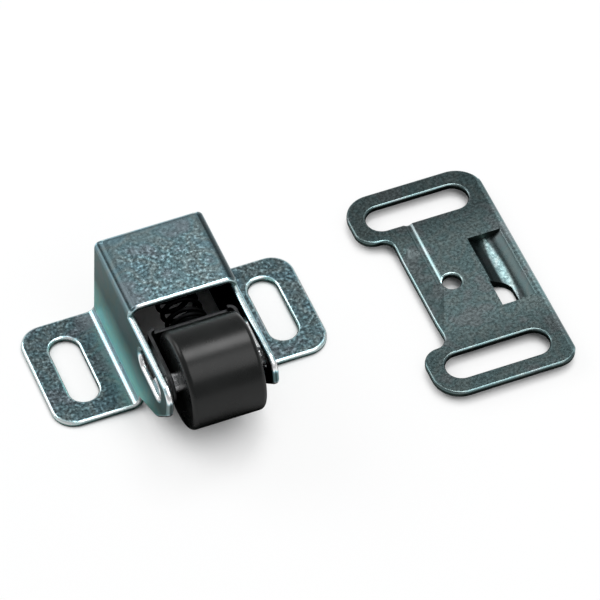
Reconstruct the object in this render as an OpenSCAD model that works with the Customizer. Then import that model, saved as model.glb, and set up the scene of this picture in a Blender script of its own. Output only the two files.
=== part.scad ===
// Roller catch: a pressed steel case with a sprung roller, and the strike its roller snaps into.
// Millimetres. +X along the case's two feet, +Y towards its closed back, +Z up from the mounting face.
// The origin is midway between the case's two screw slots, on the mounting face.

/* [Sheet] */
// thickness of the steel strip that the case is pressed from
sheet = 1.2; // [1.0:0.1:1.4]
// outside radius of the bends along the roof's two sides
bend_r = 2.0; // [1.8:0.1:2.4]
// outside radius of the bend at the roof's back edge
back_bend_r = 1.5; // [1.5:0.1:2.4]
// inside radius where a side wall turns out into its foot
foot_r = 1.3; // [0.8:0.1:1.8]

/* [Case] */
// length over the two feet
case_length = 48; // [47:0.5:52]
// depth of the feet and of the closed part of the box
case_depth = 22; // [21:0.5:23]
// height of the roof above the mounting face
case_height = 18.5; // [18:0.25:19.5]
// width of the box across the roof
roof_width = 18.8; // [18.4:0.1:19.2]
// lean of the side walls, in degrees
wall_lean = 2.4; // [1.5:0.1:3]
// how far the roof reaches in front of the slots' centres
roof_front = 5.4; // [4.6:0.1:5.6]
// radius of the feet's corners
foot_corner_r = 4; // [2:0.25:5]

/* [Screw slots] */
// width of the case's screw slots, for number 8 screws
slot_width = 5; // [4.4:0.1:5.4]
// length of the case's screw slots, end to end
slot_length = 14; // [10:0.5:16]
// distance between the case's two screw slots
slot_spacing = 35; // [34.5:0.25:36]

/* [Ears] */
// how far the ears reach in front of the slots' centres
ear_reach = 23.3; // [23:0.1:24.5]
// height of the ears' lower edge where it leaves the feet
ear_root = 2.6; // [2.6:0.1:3.2]
// height of the ears' lower edge under the axle
ear_knee = 6.2; // [5.6:0.1:6.6]
// radius where the ears' lower edge bends under the axle
ear_knee_r = 6; // [4:0.5:7]
// height of the ears' lower edge at the nose
ear_nose = 11.5; // [11:0.1:12]
// radius of the ears' rounded nose
nose_r = 2.5; // [1.5:0.1:2.5]

/* [Roller] */
// diameter of the roller
roller_d = 16.6; // [15:0.1:16.8]
// length of the roller
roller_length = 12.7; // [12:0.1:13]
// rounding of the roller's two rims
rim_r = 0.9; // [0.4:0.1:1.2]
// how far the roller lies to the right on its axle
roller_shift = 0.2; // [0:0.05:0.45]
// diameter of the axle
axle_d = 3.4; // [3:0.1:3.6]
// bevel on the axle's two ends
axle_bevel = 0.3; // [0.2:0.05:0.5]
// how far the axle's ends lie inside the ears' outer faces
axle_inset = 0.1; // [0.05:0.05:0.5]
// distance of the axle in front of the slots' centres
axle_front = 18; // [17.8:0.1:18.4]
// height of the axle above the mounting face
axle_height = 13; // [12.6:0.1:13.1]
// gap round the axle in the roller's bore
bore_clearance = 0.05; // [0.02:0.01:0.09]
// gap round the axle in the ears' slots
guide_clearance = 0.3; // [0.2:0.05:0.4]
// length of the ears' slots behind the resting axle
guide_run = 6; // [5:0.25:6.5]

/* [Yoke] */
// thickness of the yoke's strip
yoke_sheet = 0.6; // [0.5:0.05:0.65]
// height of the yoke's strip
yoke_height = 6; // [5:0.1:6]
// width over the yoke's two arms
yoke_width = 15.4; // [15:0.1:15.5]
// outside radius of the yoke's two bends
yoke_bend_r = 1.4; // [1:0.1:1.8]
// height left in the yoke's web
web_height = 5; // [4.8:0.1:5.2]
// gap between the roller's back and the yoke's web
web_gap = 0.8; // [0.5:0.1:1.2]

/* [Spring] */
// outside diameter of the coil
coil_d = 7; // [6.8:0.1:7.4]
// diameter of the spring's wire
wire_d = 0.8; // [0.7:0.05:0.9]
// number of turns of wire
coil_turns = 9; // [7:1:10]
// pitch of the closed end turns, in wire diameters
end_pitch = 1.12; // [1.05:0.01:1.3]
// gap between the coil's front turn and the yoke's web
spring_gap = 0.05; // [0.02:0.01:0.2]
// diameter of the two studs that hold the coil
stud_d = 4.6; // [4:0.1:4.7]
// length of the two studs
stud_length = 1.6; // [1:0.1:2]

/* [Strike] */
// width of the strike across its lobes
strike_width = 24.6; // [24.4:0.1:25.5]
// length of the strike
strike_length = 46; // [45:0.5:48]
// thickness of the strike's strip
strike_sheet = 1.2; // [1.0:0.1:1.4]
// how far the lobes stand out past the lip
lobe_reach = 5.2; // [4.9:0.1:5.6]
// depth of each lobed end along the strike
lobe_depth = 10.6; // [10.2:0.1:11]
// radius of the lobes' outer corners
lobe_r = 4.8; // [3.5:0.1:5.2]
// radius of the lobes' corners beside the lip
lobe_inner_r = 3.2; // [2.6:0.1:3.4]
// radius of the strike's back right corner
back_corner_r = 5.2; // [3:0.1:5.6]
// radius of the strike's front right corner
front_corner_r = 3.6; // [2:0.1:4.5]
// rounding along the strike's right edge, over which the roller leaves
edge_roll_r = 0.9; // [0.5:0.1:1]
// width of the folded lip
lip_width = 4; // [3.6:0.1:4.4]
// how far the lip's free edge dips below the strip
lip_dip = 0.4; // [0.2:0.1:0.8]
// length over which the lip's free edge runs out level at each end
lip_runout = 3.1; // [2:0.1:4]
// how far the lip's fold runs on in front of the hole's centre
fold_end = 1; // [0.5:0.1:2]
// radius of the groove pressed along the lip's fold
crease_r = 0.9; // [0.7:0.1:1.2]
// depth of that groove
crease_depth = 0.35; // [0.2:0.05:0.5]
// width of the strike's screw slots
strike_slot_width = 5.4; // [4.8:0.1:5.6]
// length of the strike's screw slots, end to end
strike_slot_length = 18.3; // [15:0.1:18.6]
// distance between the strike's two screw slots
strike_slot_spacing = 34.4; // [34:0.1:35]
// how far the screw slots lie to the left of the strike's middle
strike_slot_shift = 0.3; // [0:0.1:1]
// diameter of the hole between the lip and the seat
pilot_d = 3.2; // [2.6:0.1:3.6]
// how far that hole lies to the left of the strike's middle
pilot_shift = 1.2; // [0.6:0.1:1.3]
// how far the seat dips below the strip
seat_depth = 1.3; // [1.0:0.1:1.5]
// distance from the strike's middle to the seat's left edge
seat_left = 4.8; // [4.4:0.1:5]
// width of the roller's seat
seat_width = 6; // [5.6:0.1:6.2]
// length of the roller's seat
seat_length = 15.4; // [14.5:0.1:16]
// width of the relief at the seat's front left corner
relief_width = 3.4; // [2.6:0.1:3.8]
// length of the relief along the seat
relief_length = 5.6; // [4:0.1:6.5]
// radius of the relief's inner corner
relief_r = 2.2; // [1:0.1:2.5]
// how far the relief is cut back into the strip round that corner
relief_cut = 0.2; // [0.1:0.05:0.5]

/* [Layout] */
// how far the strike lies to the right of the case
strike_x = 48; // [46:0.5:60]
// how far the strike lies in front of the case's centre
strike_front = 6.6; // [0:0.2:10]

/* [Hidden] */
$fn = 64;
far = 60;
past = 0.3;
flare = 6;
back_y = case_depth / 2;
axle_y = -axle_front;
knee_y = axle_y - 0.5;
yoke_low = axle_height - yoke_height / 2;
ear_top = case_height - bend_r;
lean_run = tan(wall_lean);
lean_sheet = sheet / cos(wall_lean);
roof_half = roof_width / 2;
floor_half = roof_half + case_height * lean_run;
foot_half = roof_half + (case_height - sheet) * lean_run;
inner_roof_half = roof_half + sheet * lean_run - lean_sheet;
inner_floor_half = floor_half - lean_sheet;
guide_d = axle_d + 2 * guide_clearance;
axle_length = 2 * (roof_half + (case_height - axle_height) * lean_run - axle_inset);
web_front = axle_y + roller_d / 2 + web_gap;
web_back = web_front + yoke_sheet;
spring_front = web_back + spring_gap;
spring_back = back_y - sheet;
coil_mid_r = (coil_d - wire_d) / 2;
spring_height = yoke_low + web_height / 2;
lip_edge = -strike_width / 2 + lobe_reach;
lip_fold = lip_edge + lip_width;
lip_half = strike_length / 2 - lobe_depth;
lobe_flat = 0.1;
lip_root_r = lobe_reach - lobe_inner_r - lobe_flat;
lip_flat = lip_half - lip_root_r;
seat_r = (pow(seat_width / 2, 2) + pow(seat_depth, 2)) / (2 * seat_depth);
seat_mid = seat_left + seat_width / 2;

function unit(v) = v / norm(v);
function ahead(p, i) = unit(p[(i + 1) % len(p)] - p[i]);
function behind(p, i) = unit(p[(i + len(p) - 1) % len(p)] - p[i]);
function half_turn(p, i) = acos(ahead(p, i) * behind(p, i)) / 2;
function reach(p, r, i) = r[i] / tan(half_turn(p, i));
function middle(p, r, i) = p[i] + unit(ahead(p, i) + behind(p, i)) * r[i] / sin(half_turn(p, i));
function wedge(p, r, i) =
  let (
    out = p[i] - unit(ahead(p, i) + behind(p, i)) * past,
    on = p[i] + ahead(p, i) * reach(p, r, i),
    back = p[i] + behind(p, i) * reach(p, r, i)
  )
  is_outer(p, i) ? [out, on, middle(p, r, i), back] : [out, back, middle(p, r, i), on];
function is_outer(p, i) = behind(p, i)[0] * ahead(p, i)[1] - behind(p, i)[1] * ahead(p, i)[0] < 0;

// The tip of corner i that lies outside its rounding circle.
module corner_tip(p, r, i) {
  difference() {
    polygon(wedge(p, r, i));
    translate(middle(p, r, i)) circle(r[i]);
  }
}

// A polygon, points anticlockwise, with a radius at each corner: 0 leaves that corner sharp.
module rounded(p, r) {
  difference() {
    polygon(p);
    for (i = [0 : len(p) - 1])
      if (r[i] > 0 && is_outer(p, i)) corner_tip(p, r, i);
  }
  for (i = [0 : len(p) - 1])
    if (r[i] > 0 && !is_outer(p, i)) corner_tip(p, r, i);
}

// A slot along X, end to end length l, width w.
module slot_x(l, w) {
  square([l - w, w], center = true);
  for (s = [-1, 1])
    translate([s * (l - w) / 2, 0]) circle(d = w);
}

// Draws an X-Z section along Y, from y0 back to y1.
module along_y(y0, y1) {
  translate([0, y1, 0]) rotate([90, 0, 0]) linear_extrude(y1 - y0) children();
}

// Draws a Y-Z side view along X, half a width each side of the middle.
module along_x(half) {
  translate([-half, 0, 0]) rotate([90, 0, 90]) linear_extrude(2 * half) children();
}

// The case's outer skin in front view, with the fillets over its feet.
module front_outer() {
  rounded([
    [-foot_half - 3 * foot_r, 0],
    [foot_half + 3 * foot_r, 0],
    [foot_half + 3 * foot_r, sheet],
    [foot_half, sheet],
    [roof_half, case_height],
    [-roof_half, case_height],
    [-foot_half, sheet],
    [-foot_half - 3 * foot_r, sheet]
  ], [0, 0, 0, foot_r, bend_r, bend_r, foot_r, 0]);
}

// The hollow of the case in front view: it flares at the bottom where the walls turn out.
module front_inner() {
  rounded([
    [-inner_floor_half - flare, -2],
    [inner_floor_half + flare, -2],
    [inner_floor_half + flare, 0],
    [inner_floor_half, 0],
    [inner_roof_half, case_height - sheet],
    [-inner_roof_half, case_height - sheet],
    [-inner_floor_half, 0],
    [-inner_floor_half - flare, 0]
  ], [0, 0, 0, foot_r + sheet, bend_r - sheet, bend_r - sheet, foot_r + sheet, 0]);
}

// The case in side view: closed back, roof, and the two ears that carry the axle.
module side_outer() {
  rounded([
    [back_y, -1],
    [back_y, case_height],
    [-roof_front, case_height],
    [-roof_front, ear_top],
    [-ear_reach, ear_top],
    [-ear_reach, ear_nose],
    [knee_y, ear_knee],
    [-back_y, ear_root],
    [-back_y, -1]
  ], [0, back_bend_r, 0, 0, nose_r, nose_r, ear_knee_r, 0, 0]);
}

module side_inner() {
  rounded([
    [back_y - sheet, -3],
    [back_y - sheet, case_height - sheet],
    [-far, case_height - sheet],
    [-far, -3]
  ], [0, back_bend_r - sheet, 0, 0]);
}

module feet() {
  linear_extrude(sheet)
    difference() {
      rounded([
        [-case_length / 2, -back_y],
        [case_length / 2, -back_y],
        [case_length / 2, back_y],
        [-case_length / 2, back_y]
      ], [foot_corner_r, foot_corner_r, foot_corner_r, foot_corner_r]);
      for (s = [-1, 1])
        translate([s * slot_spacing / 2, 0]) rotate(90) slot_x(slot_length, slot_width);
    }
}

module housing() {
  color("#9aa6a8") {
    difference() {
      union() {
        feet();
        intersection() {
          along_y(-far, far) front_outer();
          along_x(far) side_outer();
        }
      }
      intersection() {
        along_y(-far, far) front_inner();
        along_x(far) side_inner();
      }
      // slots in the ears, along which the axle slides
      for (y = [axle_y, axle_y + guide_run])
        translate([-far, y, axle_height]) rotate([0, 90, 0]) cylinder(d = guide_d, h = 2 * far);
      translate([-far, axle_y, axle_height - guide_d / 2]) cube([2 * far, guide_run, guide_d]);
    }
    // stud pressed into the back wall, round which the coil sits
    translate([0, back_y - sheet / 2, spring_height]) rotate([90, 0, 0])
      cylinder(d = stud_d, h = stud_length + sheet / 2);
  }
}

module yoke() {
  arm = yoke_width / 2;
  color("#8f9799") {
    difference() {
      intersection() {
        translate([0, 0, yoke_low]) linear_extrude(yoke_height)
          difference() {
            rounded(
              [[-arm, -far], [arm, -far], [arm, web_back], [-arm, web_back]],
              [0, 0, yoke_bend_r, yoke_bend_r]
            );
            rounded([
              [-arm + yoke_sheet, -2 * far],
              [arm - yoke_sheet, -2 * far],
              [arm - yoke_sheet, web_front],
              [-arm + yoke_sheet, web_front]
            ], [0, 0, yoke_bend_r - yoke_sheet, yoke_bend_r - yoke_sheet]);
          }
        union() {
          translate([-far, axle_y, axle_height]) rotate([0, 90, 0]) cylinder(d = yoke_height, h = 2 * far);
          translate([-far, axle_y, yoke_low]) cube([2 * far, far, yoke_height]);
        }
      }
      translate([-far, axle_y, axle_height]) rotate([0, 90, 0]) cylinder(d = axle_d, h = 2 * far);
      // the web's upper edge is cut down between its two bends
      translate([-arm + yoke_bend_r, web_front - yoke_sheet, yoke_low + web_height])
        cube([yoke_width - 2 * yoke_bend_r, 3 * yoke_sheet, yoke_height]);
    }
    // stud pressed out of the web, round which the coil sits
    translate([0, web_back + stud_length, spring_height]) rotate([90, 0, 0])
      cylinder(d = stud_d, h = stud_length + yoke_sheet / 2);
  }
}

module axle() {
  color("#c4c8c8")
    translate([0, axle_y, axle_height]) rotate([0, 90, 0])
      rotate_extrude()
        polygon([
          [0, -axle_length / 2],
          [axle_d / 2 - axle_bevel, -axle_length / 2],
          [axle_d / 2, -axle_length / 2 + axle_bevel],
          [axle_d / 2, axle_length / 2 - axle_bevel],
          [axle_d / 2 - axle_bevel, axle_length / 2],
          [0, axle_length / 2]
        ]);
}

module roller() {
  bore = axle_d / 2 + bore_clearance;
  color("#202223")
    translate([roller_shift, axle_y, axle_height]) rotate([0, 90, 0])
      rotate_extrude()
        rounded([
          [bore, -roller_length / 2],
          [roller_d / 2, -roller_length / 2],
          [roller_d / 2, roller_length / 2],
          [bore, roller_length / 2]
        ], [0, rim_r, rim_r, 0]);
}

// Distance along the coil for each turn: the end turns lie close, the middle ones open.
function coil_y(t) =
  let (
    first = spring_front + wire_d / 2,
    run = spring_back - spring_front - wire_d,
    shut = wire_d * end_pitch,
    open = (run - 2 * shut) / (coil_turns - 2)
  )
  t < 1 ? first + shut * t
  : t < coil_turns - 1 ? first + shut + open * (t - 1)
  : first + shut + open * (coil_turns - 2) + shut * (t - coil_turns + 1);

module spring() {
  per_turn = 18;
  sides = 8;
  rings = coil_turns * per_turn;
  points = [
    for (i = [0 : rings])
      for (j = [0 : sides - 1])
        let (
          a = 360 * i / per_turn,
          b = 360 * j / sides,
          r = coil_mid_r + wire_d / 2 * cos(b)
        )
        [r * cos(a), coil_y(i / per_turn) + wire_d / 2 * sin(b), spring_height + r * sin(a)]
  ];
  skin = [
    for (i = [0 : rings - 1])
      for (j = [0 : sides - 1])
        for (k = [0, 1])
          let (
            a = i * sides + j,
            b = i * sides + (j + 1) % sides,
            c = (i + 1) * sides + (j + 1) % sides,
            d = (i + 1) * sides + j
          )
          k == 0 ? [a, b, c] : [a, c, d]
  ];
  start = [[for (j = [sides - 1 : -1 : 0]) j]];
  finish = [[for (j = [0 : sides - 1]) rings * sides + j]];
  color("#a9aeae") polyhedron(points, concat(skin, start, finish), convexity = 10);
}

// The strike's flat outline: two lobed ends joined by a narrower middle.
module strike_plan() {
  l = -strike_width / 2;
  r = strike_width / 2;
  e = strike_length / 2;
  rounded([
    [l, -e], [r, -e], [r, e], [l, e],
    [l, lip_half], [lip_edge, lip_half], [lip_edge, -lip_half], [l, -lip_half]
  ], [
    lobe_r, front_corner_r, back_corner_r, lobe_r,
    lobe_inner_r, lip_root_r, lip_root_r, lobe_inner_r
  ]);
}

// The lip: folded down along the groove, and running out level at both ends.
module strike_lip() {
  down = lip_flat - lip_runout;
  top = [
    [lip_fold, -lip_flat, 0], [lip_fold, -fold_end, 0], [lip_fold, down, 0], [lip_fold, lip_flat, 0],
    [lip_edge, lip_flat, 0], [lip_edge, down, -lip_dip],
    [lip_edge, -down, -lip_dip], [lip_edge, -lip_flat, 0]
  ];
  low = [for (p = top) p - [0, 0, strike_sheet]];
  n = len(top);
  over = [[2, 3, 4], [2, 4, 5], [1, 2, 5, 6], [1, 6, 7], [0, 1, 7]];
  under = [for (f = over) [for (i = [len(f) - 1 : -1 : 0]) f[i] + n]];
  round_edge = [for (i = [0 : n - 1]) [(i + 1) % n, i, i + n, (i + 1) % n + n]];
  polyhedron(
    concat(top, low),
    concat([for (f = over) [for (i = [len(f) - 1 : -1 : 0]) f[i]]],
           [for (f = under) [for (i = [len(f) - 1 : -1 : 0]) f[i]]],
           [for (f = round_edge) [for (i = [3 : -1 : 0]) f[i]]]),
    convexity = 4
  );
}

// A round bar of radius r lying along the seat, whose surface dips into the strip by seat_depth.
module seat_bar(r) {
  translate([seat_mid, seat_length / 2, seat_r - seat_depth]) rotate([90, 0, 0])
    cylinder(r = r, h = seat_length);
}

module strike() {
  color("#848e8d")
    translate([strike_x, -strike_front, seat_depth + strike_sheet])
      difference() {
        union() {
          translate([0, 0, -strike_sheet]) linear_extrude(strike_sheet)
            difference() {
              strike_plan();
              translate([lip_edge - past, -lip_flat]) square([lip_width + past, 2 * lip_flat]);
            }
          strike_lip();
          // the seat's underside, bulging below the strip
          intersection() {
            seat_bar(seat_r + strike_sheet);
            translate([-far, -far, -far - strike_sheet / 2]) cube([2 * far, 2 * far, far]);
          }
        }
        // the seat that the roller drops into: a trough sheared free at both ends
        seat_bar(seat_r);
        // the groove along the lip's fold, from the back slot to the hole
        translate([lip_fold, strike_slot_spacing / 2, crease_r - crease_depth]) rotate([90, 0, 0])
          cylinder(r = crease_r, h = strike_slot_spacing / 2);
        // the rounded right edge
        along_y(-far, far) corner_tip(
          [[0, -far], [strike_width / 2, -far], [strike_width / 2, 0], [0, 0]], [0, 0, edge_roll_r, 0], 2
        );
        translate([0, 0, -far / 2]) linear_extrude(far) {
          for (s = [-1, 1])
            translate([-strike_slot_shift, s * strike_slot_spacing / 2])
              slot_x(strike_slot_length, strike_slot_width);
          translate([-pilot_shift, 0]) circle(d = pilot_d);
          // relief at the seat's near corner
          translate([seat_left - relief_cut, -seat_length / 2 - relief_cut])
            rounded(
              [[0, 0], [relief_width, 0], [relief_width, relief_length], [0, relief_length]],
              [0, 0, relief_r, 0]
            );
        }
      }
}

housing();
yoke();
axle();
roller();
spring();
strike();
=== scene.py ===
"""Roller catch: a pressed zinc-plated case with a sprung black roller, and the strike beside it."""
import math

import bmesh
import bpy
from mathutils import Matrix, Vector


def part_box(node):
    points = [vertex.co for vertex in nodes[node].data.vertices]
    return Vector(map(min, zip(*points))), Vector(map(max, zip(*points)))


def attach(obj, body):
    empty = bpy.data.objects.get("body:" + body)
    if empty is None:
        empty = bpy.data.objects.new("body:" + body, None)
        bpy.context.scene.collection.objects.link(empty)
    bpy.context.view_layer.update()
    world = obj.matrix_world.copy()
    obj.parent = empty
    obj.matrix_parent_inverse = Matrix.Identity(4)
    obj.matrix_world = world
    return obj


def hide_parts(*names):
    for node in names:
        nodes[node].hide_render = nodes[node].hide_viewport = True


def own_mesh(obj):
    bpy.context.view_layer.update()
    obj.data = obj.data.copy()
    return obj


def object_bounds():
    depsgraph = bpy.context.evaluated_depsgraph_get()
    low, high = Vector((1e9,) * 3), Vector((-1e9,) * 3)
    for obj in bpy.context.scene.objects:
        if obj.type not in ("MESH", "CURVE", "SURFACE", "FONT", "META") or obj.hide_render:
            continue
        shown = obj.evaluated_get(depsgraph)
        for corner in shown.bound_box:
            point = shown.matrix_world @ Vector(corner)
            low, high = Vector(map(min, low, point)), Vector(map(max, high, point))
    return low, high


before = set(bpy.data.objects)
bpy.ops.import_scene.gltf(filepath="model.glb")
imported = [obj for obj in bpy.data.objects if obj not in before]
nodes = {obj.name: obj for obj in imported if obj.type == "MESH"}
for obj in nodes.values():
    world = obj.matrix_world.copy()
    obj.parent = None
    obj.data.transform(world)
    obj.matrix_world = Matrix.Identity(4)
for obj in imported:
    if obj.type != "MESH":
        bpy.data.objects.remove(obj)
cad_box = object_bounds()


# Case: one strip of 1.2 mm steel, drawn into a box with two feet and two ears, then zinc plated.
# Tumbling before plating rounds every sheared edge. The plating leaves a fine mottle on the flat
# faces, and the drawn walls stay smooth. The upright faces and the inside are painted darker as shade,
# and the rounded edges and bends are painted lighter as highlights.
def place_piece(piece, node, body):
    """Puts a piece in the scene on its body, in place of the plain solid."""
    bpy.context.scene.collection.objects.link(piece)
    for face in piece.data.polygons:
        face.use_smooth = True
    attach(piece, body)
    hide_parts(node)


def within(box, edge):
    """Whether an edge's middle lies in a box seen from above."""
    middle = (edge.verts[0].co + edge.verts[1].co) / 2
    return box is not None and all(box[0][i] < middle[i] < box[1][i] for i in range(2))


def pressed(node, name, body, width, sheared_from=40, plain=None, creased=None):
    """A solid with its sheared edges rounded to a width, all but those in the plain box.
    An edge is sheared where its faces turn by more than sheared_from degrees. Flat faces are
    joined first, so that they stay flat. Faces in the creased box meet in creases."""
    same_point = 0.00009
    no_length = 0.000001
    flat = math.radians(0.6)
    smooth_to = math.radians(30)
    crease_from = math.radians(2)
    shape = bmesh.new()
    shape.from_mesh(nodes[node].data)
    bmesh.ops.remove_doubles(shape, verts=shape.verts, dist=same_point)
    bmesh.ops.dissolve_degenerate(shape, dist=no_length, edges=shape.edges)
    bmesh.ops.dissolve_limit(shape, angle_limit=flat, verts=shape.verts, edges=shape.edges)
    sheared = []
    for edge in shape.edges:
        if edge.is_manifold and edge.is_convex and not within(plain, edge):
            if edge.calc_face_angle() > math.radians(sheared_from):
                sheared.append(edge)
    # the rounding faces are marked, so that the finish can paint a highlight on them
    edge_highlight = shape.faces.layers.float.new("edge_highlight")
    rounding = bmesh.ops.bevel(shape, geom=sheared, offset=width, offset_type="OFFSET", segments=4,
                               profile=0.5, affect="EDGES", clamp_overlap=False, loop_slide=False)
    for face in rounding["faces"]:
        face[edge_highlight] = 1.0
    for edge in shape.edges:
        limit = crease_from if within(creased, edge) else smooth_to
        edge.smooth = edge.is_manifold and edge.calc_face_angle() < limit
    piece = bpy.data.objects.new(name, bpy.data.meshes.new(name))
    shape.to_mesh(piece.data)
    shape.free()
    place_piece(piece, node, body)
    normals = piece.modifiers.new("normals", "WEIGHTED_NORMAL")
    normals.keep_sharp = True
    return piece


def finish_of(name):
    """A new material: its node tree, its shader, and a place to read from in metres."""
    material = bpy.data.materials.new(name)
    material.use_nodes = True
    tree = material.node_tree
    place = tree.nodes.new("ShaderNodeTexCoord")
    return material, tree, tree.nodes["Principled BSDF"], place


def noise(tree, place, size, detail, roughness=0.5):
    """Noise whose blotches are about size metres across."""
    node = tree.nodes.new("ShaderNodeTexNoise")
    node.inputs["Scale"].default_value = 1 / size
    node.inputs["Detail"].default_value = detail
    node.inputs["Roughness"].default_value = roughness
    tree.links.new(place.outputs["Object"], node.inputs["Vector"])
    return node.outputs["Fac"]


def ramp(tree, value, stops):
    """Turns a value into colours, or into greys where a stop is one number."""
    node = tree.nodes.new("ShaderNodeValToRGB")
    band = node.color_ramp
    while len(band.elements) < len(stops):
        band.elements.new(1)
    for element, (at, colour) in zip(band.elements, stops):
        element.position = at
        channels = colour if isinstance(colour, tuple) else (colour,) * 3
        element.color = (*channels, 1)
    tree.links.new(value, node.inputs["Fac"])
    return node.outputs["Color"]


def between(tree, value, ends):
    """A ramp over the middle of a noise, from one end to the other."""
    return ramp(tree, value, [(0.3, ends[0]), (0.7, ends[1])])


def mix(tree, kind, share, a, b):
    """Mixes two colours; share is a number or a socket."""
    node = tree.nodes.new("ShaderNodeMix")
    node.data_type = "RGBA"
    node.blend_type = kind
    if isinstance(share, (int, float)):
        node.inputs["Factor"].default_value = share
    else:
        tree.links.new(share, node.inputs["Factor"])
    tree.links.new(a, node.inputs["A"])
    tree.links.new(b, node.inputs["B"])
    return node.outputs["Result"]


def sum_up(tree, kind, *terms):
    """One arithmetic step on numbers and sockets."""
    node = tree.nodes.new("ShaderNodeMath")
    node.operation = kind
    for term, socket in zip(terms, node.inputs):
        if isinstance(term, (int, float)):
            socket.default_value = term
        else:
            tree.links.new(term, socket)
    return node.outputs["Value"]


def both(tree, *masks):
    """1 only where every mask is 1."""
    result = masks[0]
    for mask in masks[1:]:
        result = sum_up(tree, "MULTIPLY", result, mask)
    return result


def off(tree, value, middle):
    """How far a value lies from a middle, to either side."""
    return sum_up(tree, "ABSOLUTE", sum_up(tree, "SUBTRACT", value, middle))


def part_of(tree, place, kind, axis):
    """One component of a point's position, Object, or of its Normal."""
    split = tree.nodes.new("ShaderNodeSeparateXYZ")
    tree.links.new(place.outputs[kind], split.inputs["Vector"])
    return split.outputs[axis]


def spread(tree, value, none, full):
    """0 at none and beyond, 1 at full and beyond, and a straight run between."""
    node = tree.nodes.new("ShaderNodeMapRange")
    node.inputs["From Min"].default_value = none
    node.inputs["From Max"].default_value = full
    tree.links.new(value, node.inputs["Value"])
    return node.outputs["Result"]


def facing(tree, place, axis, none, full):
    """1 on faces square to an axis, 0 on those along it."""
    return spread(tree, sum_up(tree, "ABSOLUTE", part_of(tree, place, "Normal", axis)), none, full)


def bump(tree, shader, height, depth, strength):
    """Lets a value raise the surface by up to depth metres."""
    node = tree.nodes.new("ShaderNodeBump")
    node.inputs["Strength"].default_value = strength
    node.inputs["Distance"].default_value = depth
    tree.links.new(height, node.inputs["Height"])
    tree.links.new(node.outputs["Normal"], shader.inputs["Normal"])


def shade(tree, shader, mask, stops):
    """Multiplies the base colour by a ramp over the mask."""
    colour = shader.inputs["Base Color"].links[0].from_socket
    shaded = mix(tree, "MULTIPLY", 1.0, colour, ramp(tree, mask, stops))
    tree.links.new(shaded, shader.inputs["Base Color"])


def tone(tree, shader, mask, factor):
    """Multiplies the base colour by a factor where the mask is 1."""
    shade(tree, shader, mask, [(0.0, 1.0), (1.0, factor)])


# shares of a face's normal: where a face starts to lean, and where it lies square to an axis
leaning = (0.1, 0.3)
upright = (0.3, 0.1)
square = (0.90, 0.98)


def plated(name, tints, spots, spot_size, roughness, bends, stretched=None):
    """Zinc plating: slow drifts of tint and a fine mottle on level faces, with painted shade on the
    upright faces and on faces square to Y, and painted highlights on the rounded edges. The bends
    take the tone given for them, a painted highlight where it is above 1, and the mottle is left
    off where stretched is 1."""
    # tones painted on by facing: shade on upright faces and on faces square to Y, highlight on the
    # rounded edges
    upright_shade = (0.62, 0.64, 0.58)
    end_face_shade = 0.5
    edge_highlight = 2.2
    material, tree, shader, place = finish_of(name)
    drift = noise(tree, place, size=0.005, detail=1.5)
    grain = noise(tree, place, size=spot_size, detail=2.0, roughness=0.6)
    mottle = ramp(tree, grain, spots)
    smooth = between(tree, grain, (0.94, 1.04))
    spotted = facing(tree, place, "Z", 0.93, 0.99)
    if stretched:
        spotted = both(tree, spotted, sum_up(tree, "SUBTRACT", 1.0, stretched(tree, place)))
    shown = mix(tree, "MIX", spotted, smooth, mottle)
    tinted = mix(tree, "MULTIPLY", 1.0, ramp(tree, drift, tints), shown)
    tree.links.new(tinted, shader.inputs["Base Color"])
    # upright faces painted darker as shade and bends painted with their tone as highlight, then faces
    # square to Y painted darker as shade and the rounded edges painted lighter as highlight
    shade(tree, shader, facing(tree, place, "Z", 0.0, 1.0),
          [(0.06, upright_shade), (0.30, bends), (0.90, bends), (0.985, 1.0)])
    tone(tree, shader, facing(tree, place, "Y", *square), end_face_shade)
    edges = tree.nodes.new("ShaderNodeAttribute")
    edges.attribute_name = "edge_highlight"
    tone(tree, shader, edges.outputs["Fac"], edge_highlight)
    shader.inputs["Metallic"].default_value = 1.0
    shader.inputs["Specular Tint"].default_value = (0.75, 0.75, 0.75, 1)
    polish = between(tree, grain, roughness)
    matt = between(tree, grain, (0.50, 0.58))
    worn = mix(tree, "MIX", facing(tree, place, "Z", *leaning), matt, polish)
    tree.links.new(worn, shader.inputs["Roughness"])
    bump(tree, shader, grain, depth=0.00004, strength=0.25)
    return material, tree, shader, place


# heights in metres over which the roof begins and the feet end, going up and going down
roof_begins = (0.015, 0.016)
feet_end = (0.003, 0.002)


def case_borders(tree, place):
    """1 along the roof's sides and back and beside the feet's bends, where the strip was
    stretched smooth."""
    span = sum_up(tree, "ABSOLUTE", part_of(tree, place, "Object", "X"))
    depth = part_of(tree, place, "Object", "Y")
    rise = part_of(tree, place, "Object", "Z")
    roof_sides = spread(tree, span, 0.0055, 0.0085)
    roof_back = spread(tree, depth, 0.004, 0.0095)
    foot_bend = spread(tree, span, 0.0140, 0.0115)
    rim = sum_up(tree, "MAXIMUM", roof_sides, roof_back)
    roof = both(tree, spread(tree, rise, *roof_begins), rim)
    foot = both(tree, spread(tree, rise, *feet_end), foot_bend)
    return sum_up(tree, "MAXIMUM", roof, foot)


def inside_case(tree, place):
    """1 on the case's inner faces: between its leaning walls, under its roof, before its back."""
    lean = math.tan(math.radians(2.4))
    inner_half = 0.00907
    inner_top = 0.01736
    inner_back = 0.00986
    span = sum_up(tree, "ABSOLUTE", part_of(tree, place, "Object", "X"))
    rise = part_of(tree, place, "Object", "Z")
    walled = sum_up(tree, "LESS_THAN", sum_up(tree, "MULTIPLY_ADD", rise, lean, span), inner_half)
    roofed = sum_up(tree, "LESS_THAN", rise, inner_top)
    backed = sum_up(tree, "LESS_THAN", part_of(tree, place, "Object", "Y"), inner_back)
    return both(tree, walled, roofed, backed)


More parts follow.
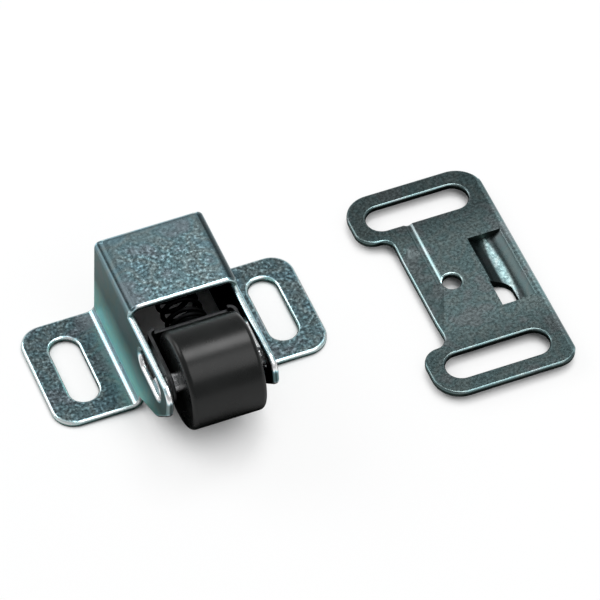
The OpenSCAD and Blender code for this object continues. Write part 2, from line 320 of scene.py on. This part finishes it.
case_zinc, tree, shader, place = plated(
    "case_zinc",
    tints=[
        (0.36, (0.18, 0.29, 0.33)),
        (0.46, (0.22, 0.29, 0.30)),
        (0.54, (0.18, 0.29, 0.32)),
        (0.64, (0.22, 0.28, 0.31)),
    ],
    spots=[(0.36, 0.55), (0.46, 0.82), (0.56, 1.12), (0.66, 2.3)],
    spot_size=0.00058,
    roughness=(0.24, 0.36),
    # the bends painted twice as light, as a highlight
    bends=2.0,
    stretched=case_borders,
)
span = sum_up(tree, "ABSOLUTE", part_of(tree, place, "Object", "X"))
height = part_of(tree, place, "Object", "Z")
# painted shade on the bends at the roof's sides, which holds back their painted highlight
turned = both(tree, facing(tree, place, "X", 0.15, 0.35), facing(tree, place, "Z", *leaning))
tone(tree, shader, both(tree, turned, spread(tree, height, *roof_begins)), 0.16)
# painted highlight on the ears' top edges, from above the feet's bends to below the roof
over_feet = spread(tree, height, 0.008, 0.009)
below_roof = spread(tree, height, 0.0178, 0.0176)
tone(tree, shader, both(tree, over_feet, below_roof, facing(tree, place, "Z", 0.2, 0.5)), 4.0)
# painted reflection on the walls, paler towards the feet
painted_wall_reflection = both(tree, facing(tree, place, "Z", *upright), spread(tree, height, 0.010, 0.002))
tone(tree, shader, painted_wall_reflection, (3.6, 4.8, 4.5))
# the feet, darker than the roof, but paler beside their bends
foot = both(tree, facing(tree, place, "Z", *square), spread(tree, height, *feet_end))
tone(tree, shader, foot, 0.62)
tone(tree, shader, both(tree, foot, spread(tree, span, 0.0135, 0.0115)), (2.0, 1.9, 1.85))
# painted shade on the inside, where little light reaches
tone(tree, shader, inside_case(tree, place), 0.05)
pressing = pressed("housing", "case_pressing", "case", width=0.0005)
pressing.data.materials.append(case_zinc)


# Spring: nine turns of 0.8 mm oil-tempered wire with closed ends, between the case's back and the yoke.
# It is coiled cold and keeps the dark skin of its tempering. In the catch it squashes as the roller is
# pushed in; here it keeps its rest length.
wire = 0.0008
turns = 9
points_a_turn = 28
low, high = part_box("spring")
coil_r = (high.x - low.x - wire) / 2
coil_z = (low.z + high.z) / 2
shut = 1.12 * wire
first = low.y + wire / 2
run = high.y - low.y - wire


def coil_y(t):
    """How far along the coil turn t lies: the end turns close, the others open."""
    open_turns = turns - 2
    gap = (run - 2 * shut) / open_turns
    closing = shut * min(t, 1) + shut * max(t - turns + 1, 0)
    return first + closing + gap * min(max(t - 1, 0), open_turns)


def bare_steel(name, grain_size, detail, roughness, colours, polish, depth, strength):
    """Unplated steel, whose tint and polish follow one fine grain."""
    material, tree, shader, place = finish_of(name)
    grain = noise(tree, place, grain_size, detail, roughness)
    tree.links.new(between(tree, grain, colours), shader.inputs["Base Color"])
    tree.links.new(between(tree, grain, polish), shader.inputs["Roughness"])
    shader.inputs["Metallic"].default_value = 1.0
    bump(tree, shader, grain, depth, strength)
    return material


line = bpy.data.curves.new("coil_line", "CURVE")
line.dimensions = "3D"
line.bevel_depth = wire / 2
line.bevel_resolution = 4
line.use_fill_caps = True
path = line.splines.new("POLY")
path.points.add(turns * points_a_turn)
for i, point in enumerate(path.points):
    turned_by = i / points_a_turn
    angle = 2 * math.pi * turned_by
    point.co = (coil_r * math.cos(angle), coil_y(turned_by), coil_z + coil_r * math.sin(angle), 1)
former = bpy.data.objects.new("coil_former", line)
coil = bpy.data.objects.new("spring_coil", bpy.data.meshes.new_from_object(former))
bpy.data.objects.remove(former)
place_piece(coil, "spring", "case")
coil.data.materials.append(bare_steel(
    "spring_wire",
    grain_size=0.0008,
    detail=3.0,
    roughness=0.5,
    # the wire's near-black is its dark tempering skin, painted darker still as the shade inside the
    # case
    colours=((0.003, 0.003, 0.0035), (0.008, 0.0085, 0.0085)),
    polish=(0.35, 0.5),
    depth=0.00003,
    strength=0.3,
))
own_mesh(coil)


# Yoke: a thin U of spring-hard strip that carries the axle and slides inside the case.
# It is punched, bent and phosphated dark.
yoke_strip = pressed("yoke", "yoke_strip", "carrier", width=0.0001)
yoke_strip.data.materials.append(bare_steel(
    "yoke_steel",
    grain_size=0.0012,
    detail=4.0,
    roughness=0.6,
    colours=((0.03, 0.031, 0.032), (0.06, 0.062, 0.064)),
    polish=(0.34, 0.52),
    depth=0.00003,
    strength=0.25,
))


# Axle: a length of bright drawn rod, cut off and chamfered, pressed through the yoke's arms.
# Its ends run in the ears' slots, so they are polished by rubbing.
rod = pressed("axle", "axle_rod", "carrier", width=0.00008)
rod.data.materials.append(bare_steel(
    "axle_steel",
    grain_size=0.0005,
    detail=2.0,
    roughness=0.5,
    colours=((0.78, 0.79, 0.80), (0.88, 0.89, 0.90)),
    polish=(0.2, 0.32),
    depth=0.00002,
    strength=0.2,
))


# Roller: moulded in black nylon with rounded rims, loose on its axle.
# The moulding leaves a satin skin with a faint grain.
roller_black, tree, shader, place = finish_of("roller_black")
grain = noise(tree, place, size=0.0005, detail=3.0, roughness=0.6)
cloud = noise(tree, place, size=0.004, detail=3.0)
blacks = between(tree, cloud, ((0.005, 0.0056, 0.0054), (0.008, 0.0088, 0.0085)))
tree.links.new(blacks, shader.inputs["Base Color"])
tree.links.new(between(tree, cloud, (0.25, 0.32)), shader.inputs["Roughness"])
shader.inputs["IOR"].default_value = 1.53
shader.inputs["Specular IOR Level"].default_value = 0.25
bump(tree, shader, grain, depth=0.00003, strength=0.15)
wheel = pressed("roller", "roller_wheel", "wheel", width=0.0001)
wheel.data.materials.append(roller_black)


# Strike: a flat stamping with two lobed ends, a folded lip and a trough that the roller drops into.
# It comes from a smoother strip than the case, so its plating is darker and more even. The trough's
# middle, the groove along the lip's fold and the rolled right edge have painted highlights, and the
# lobes, the trough's flanks and the lip's back end have painted shade.
strike_zinc, tree, shader, place = plated(
    "strike_zinc",
    tints=[
        (0.38, (0.11, 0.165, 0.17)),
        (0.46, (0.135, 0.175, 0.175)),
        (0.54, (0.115, 0.17, 0.175)),
        (0.62, (0.14, 0.17, 0.175)),
    ],
    spots=[(0.36, 0.75), (0.5, 1.0), (0.64, 1.3)],
    spot_size=0.0005,
    roughness=(0.24, 0.32),
    bends=1.0,
)
low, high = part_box("strike")
middle_y = (low.y + high.y) / 2
seat_x = 0.0558
lip_fold = 0.0449
across = part_of(tree, place, "Object", "X")
along = sum_up(tree, "SUBTRACT", part_of(tree, place, "Object", "Y"), middle_y)
off_middle = sum_up(tree, "ABSOLUTE", along)
up = part_of(tree, place, "Normal", "Z")
# painted shade on the lobes, darker than the middle
tone(tree, shader, spread(tree, off_middle, 0.0085, 0.0145), 0.55)
# the trough: a painted highlight in a stripe that narrows towards its ends, between flanks painted
# darker as shade
skin = 0.00015
narrowing = 14.0
sunk = sum_up(tree, "LESS_THAN", part_of(tree, place, "Object", "Z"), high.z - skin)
off_seat = off(tree, across, seat_x)
trough = both(tree, sunk, spread(tree, up, 0.2, 0.4), spread(tree, off_seat, 0.0042, 0.0040))
along_squared = sum_up(tree, "MULTIPLY", along, along)
off_stripe = sum_up(tree, "MULTIPLY_ADD", along_squared, narrowing, off_seat)
tone(tree, shader, both(tree, trough, spread(tree, off_stripe, 0.0011, 0.0007)), 5.0)
tone(tree, shader, both(tree, trough, spread(tree, off_seat, 0.0008, 0.0012)), 0.4)
# a painted highlight along the groove of the fold, from the back slot to the hole
groove_middle = 0.0075
from_fold = sum_up(tree, "SUBTRACT", across, lip_fold)
on_fold = spread(tree, sum_up(tree, "ABSOLUTE", from_fold), 0.0009, 0.0008)
hollow = spread(tree, up, 0.99, 0.97)
groove_run = spread(tree, off(tree, along, groove_middle), 0.0072, 0.0070)
tone(tree, shader, both(tree, on_fold, hollow, groove_run), 2.2)
# painted shade on the lip's back end, which runs out level, to hold back a glint there
forward = spread(tree, part_of(tree, place, "Normal", "Y"), -0.05, -0.10)
on_lip = spread(tree, from_fold, -0.0003, -0.0006)
lip_run = spread(tree, off_middle, 0.0105, 0.0100)
tone(tree, shader, both(tree, forward, on_lip, lip_run), 0.5)
# a painted highlight on the rolled right edge
tone(tree, shader, spread(tree, across, high.x - 0.0011, high.x - 0.0007), 3.5)
seat_box = ((0.0522, -0.0147), (0.0594, 0.0013))
lip_box = ((0.0415, -0.0166), (0.0446, 0.0034))
plate = pressed("strike", "strike_plate", "case", width=0.00036, sheared_from=60,
                plain=seat_box, creased=lip_box)
plate.data.materials.append(strike_zinc)


# Studio: a pale floor that the camera sees as near white, with a faint shadow under the catch.
# Metal mirrors the floor as white too, but darker close to the catch. Three soft boxes and a soft
# surround light it, and the boxes draw the bright edges.
half = 6.0
ground = cad_box[0].z - 0.00002
floor_mesh = bpy.data.meshes.new("floor")
floor_mesh.from_pydata(
    [(-half, -half, ground), (half, -half, ground), (half, half, ground), (-half, half, ground)],
    [],
    [(0, 1, 2, 3)],
)
floor = bpy.data.objects.new("floor", floor_mesh)
bpy.context.scene.collection.objects.link(floor)


def open_sky(tree, reach, none, full):
    """0 where the object stands close over the floor, 1 where the floor lies open."""
    node = tree.nodes.new("ShaderNodeAmbientOcclusion")
    node.inputs["Distance"].default_value = reach
    return spread(tree, node.outputs["AO"], none, full)


glow_share = 0.8
floor_white, tree, shader, place = finish_of("floor_white")
shader.inputs["Base Color"].default_value = (0.92, 0.92, 0.92, 1)
shader.inputs["Roughness"].default_value = 0.9
rays = tree.nodes.new("ShaderNodeLightPath")
seen = sum_up(tree, "MAXIMUM", rays.outputs["Is Camera Ray"], rays.outputs["Is Transmission Ray"])
seen = both(tree, seen, open_sky(tree, 0.02, 0.3, 0.75), glow_share)
mirrored = rays.outputs["Is Glossy Ray"]
lost = sum_up(tree, "SUBTRACT", open_sky(tree, 0.1, 0.72, 1.0), 1.0)
glow = tree.nodes.new("ShaderNodeEmission")
tree.links.new(sum_up(tree, "MULTIPLY_ADD", mirrored, lost, 1.0), glow.inputs["Strength"])
lit = tree.nodes.new("ShaderNodeMixShader")
tree.links.new(sum_up(tree, "MAXIMUM", seen, mirrored), lit.inputs["Fac"])
tree.links.new(shader.outputs["BSDF"], lit.inputs[1])
tree.links.new(glow.outputs["Emission"], lit.inputs[2])
tree.links.new(lit.outputs["Shader"], tree.nodes["Material Output"].inputs["Surface"])
floor_mesh.materials.append(floor_white)

surround = bpy.data.worlds.new("surround")
surround.use_nodes = True
sky = surround.node_tree.nodes["Background"]
sky.inputs["Color"].default_value = (0.97, 0.99, 1.0, 1)
sky.inputs["Strength"].default_value = 0.40
bpy.context.scene.world = surround

target = Vector((0.0227, 0.00096, 0.0))


def soft_box(name, towards, width, height, brightness, distance=0.6):
    """A lamp that stands in the given direction and faces the catch."""
    lamp = bpy.data.lights.new(name, "AREA")
    lamp.shape = "RECTANGLE"
    lamp.size = width
    lamp.size_y = height
    lamp.energy = brightness * math.pi * width * height
    stand = bpy.data.objects.new(name, lamp)
    towards = Vector(towards).normalized()
    stand.location = target + towards * distance
    stand.rotation_mode = "QUATERNION"
    stand.rotation_quaternion = (-towards).to_track_quat("-Z", "Y")
    stand.visible_camera = False
    bpy.context.scene.collection.objects.link(stand)


soft_box("left_box", (-0.56, 0.57, 0.60), width=0.34, height=0.34, brightness=3.0)
soft_box("top_box", (0.24, 0.20, 0.95), width=0.20, height=0.26, brightness=9.0)
soft_box("front_box", (0.24, -0.50, 0.83), width=0.26, height=0.40, brightness=2.6)


# Camera: looks down from the left of the front through a long lens, as the photograph does.
# Its angles, distance and slight roll were fitted to the photograph.
azimuth = math.radians(21.34)
elevation = math.radians(49.43)
roll = -0.0085
distance = 0.8199
camera_data = bpy.data.cameras.new("camera")
camera_data.sensor_width = 36
camera_data.lens = 296.5
camera = bpy.data.objects.new("camera", camera_data)
back = Vector((
    -math.sin(azimuth) * math.cos(elevation),
    -math.cos(azimuth) * math.cos(elevation),
    math.sin(elevation),
))
sideways = Vector((math.cos(azimuth), -math.sin(azimuth), 0))
above = back.cross(sideways)
camera_right = math.cos(roll) * sideways + math.sin(roll) * above
camera_up = math.cos(roll) * above - math.sin(roll) * sideways
turn = Matrix((camera_right, camera_up, back)).transposed().to_4x4()
camera.matrix_world = Matrix.Translation(target + distance * back) @ turn
bpy.context.scene.collection.objects.link(camera)
bpy.context.scene.camera = camera
bpy.context.scene.view_settings.view_transform = "Standard"
